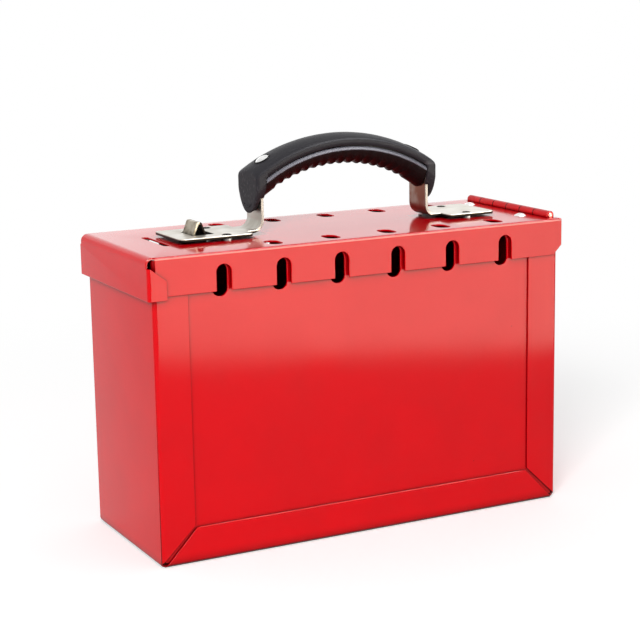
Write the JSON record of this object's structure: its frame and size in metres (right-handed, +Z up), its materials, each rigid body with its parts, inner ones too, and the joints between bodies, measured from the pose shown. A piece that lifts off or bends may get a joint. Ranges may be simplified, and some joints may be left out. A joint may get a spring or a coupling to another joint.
{
  "type": "group lockout box",
  "caption": "Portable painted steel key box with an end-hinged lid, rows of lock slots, a sliding lid latch and a carrying handle with a moulded grip.",
  "frame": {"origin": "middle of the box's footprint, on the surface it stands on", "axes": "+X along the box towards the hinged end, +Y to the back, +Z up"},
  "size_m": [0.2335, 0.0926, 0.1997],
  "materials": {
    "red_paint": "glossy red powder coat on 1 mm steel sheet",
    "hinge_paint": "red powder coat on a rolled steel hinge",
    "stainless": "satin stainless strip",
    "tab_steel": "plain bent steel strip",
    "plated_steel": "zinc-plated",
    "rivet_metal": "bright domed rivets",
    "grip_plastic": "fine-grained moulding",
    "insert_plastic": "ribbed moulding"
  },
  "bodies": {
    "box": {"body_shell": "red_paint", "front_panel": "red_paint", "back_panel": "red_paint", "front_catch": "red_paint", "back_catch": "red_paint", "body_hinge_leaf": "hinge_paint", "body_hinge_rivets": "rivet_metal", "hinge_pin": "plated_steel"},
    "lid": {"lid": "red_paint", "lid_hinge_leaf": "hinge_paint", "lid_hinge_rivets": "rivet_metal", "handle_strap": "stainless", "grip_shell": "grip_plastic", "grip_insert": "insert_plastic", "grip_rivets": "rivet_metal", "left_foot_rivets": "rivet_metal", "right_foot_rivets": "rivet_metal", "left_foot_spacers": "plated_steel", "right_foot_spacers": "plated_steel", "right_foot_washers": "plated_steel", "latch_guide_bushes": "plated_steel"},
    "latch": {"latch_slide": "plated_steel", "thumb_tab": "tab_steel"}
  },
  "joints": [
    {"name": "lid_hinge", "type": "hinge", "parent": "box", "child": "lid", "pos_m": [0.11275, 0, 0.153], "axis": [0, 1, 0], "range_deg": [0, 180]},
    {"name": "latch_travel", "type": "slide", "parent": "lid", "child": "latch", "axis": [1, 0, 0], "range_m": [0, 0.003]}
  ]
}
